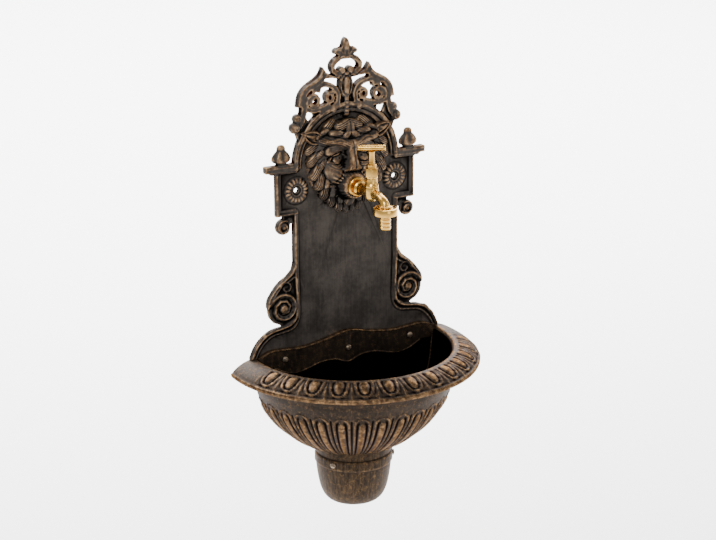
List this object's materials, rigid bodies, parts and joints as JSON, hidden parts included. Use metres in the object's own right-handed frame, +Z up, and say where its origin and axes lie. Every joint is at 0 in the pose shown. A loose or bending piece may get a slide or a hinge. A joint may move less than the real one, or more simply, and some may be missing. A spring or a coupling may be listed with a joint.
{
  "type": "wall fountain",
  "caption": "Cast wall fountain with a lion mask, scrolled back plate, half-round basin on a drain cup, and a tap whose T-bar turns.",
  "frame": {"origin": "on the flat back face of the plate, where it meets the wall, on the centre line, 130 mm below the line of the two wall screws", "axes": "+Y into the wall, +Z up, +X to the right as the front is seen; the front faces -Y"},
  "size_m": [0.42, 0.232, 0.774],
  "materials": {
    "patina": "dark brown-black patina with copper-bronze rubbed on the raised edges",
    "brass": "polished",
    "screw_steel": "dull darkened steel"
  },
  "bodies": {
    "fountain": {"back_plate": "patina", "basin": "patina", "drain_cup": "patina", "basin_screw_left": "screw_steel", "basin_screw_middle": "screw_steel", "basin_screw_right": "screw_steel", "cup_screw_left": "screw_steel", "cup_screw_right": "screw_steel", "tap_collar": "brass", "tap_body": "brass", "tap_bonnet": "brass", "union_nut": "brass", "hose_tail": "brass"},
    "tap_handle": {"tap_spindle": "brass", "tap_t_bar": "brass"}
  },
  "joints": [
    {"name": "tap_turn", "type": "hinge", "parent": "fountain", "child": "tap_handle", "pos_m": [0, -0.087, 0.205], "axis": [0, 0, 1], "range_deg": [0, 540]}
  ]
}
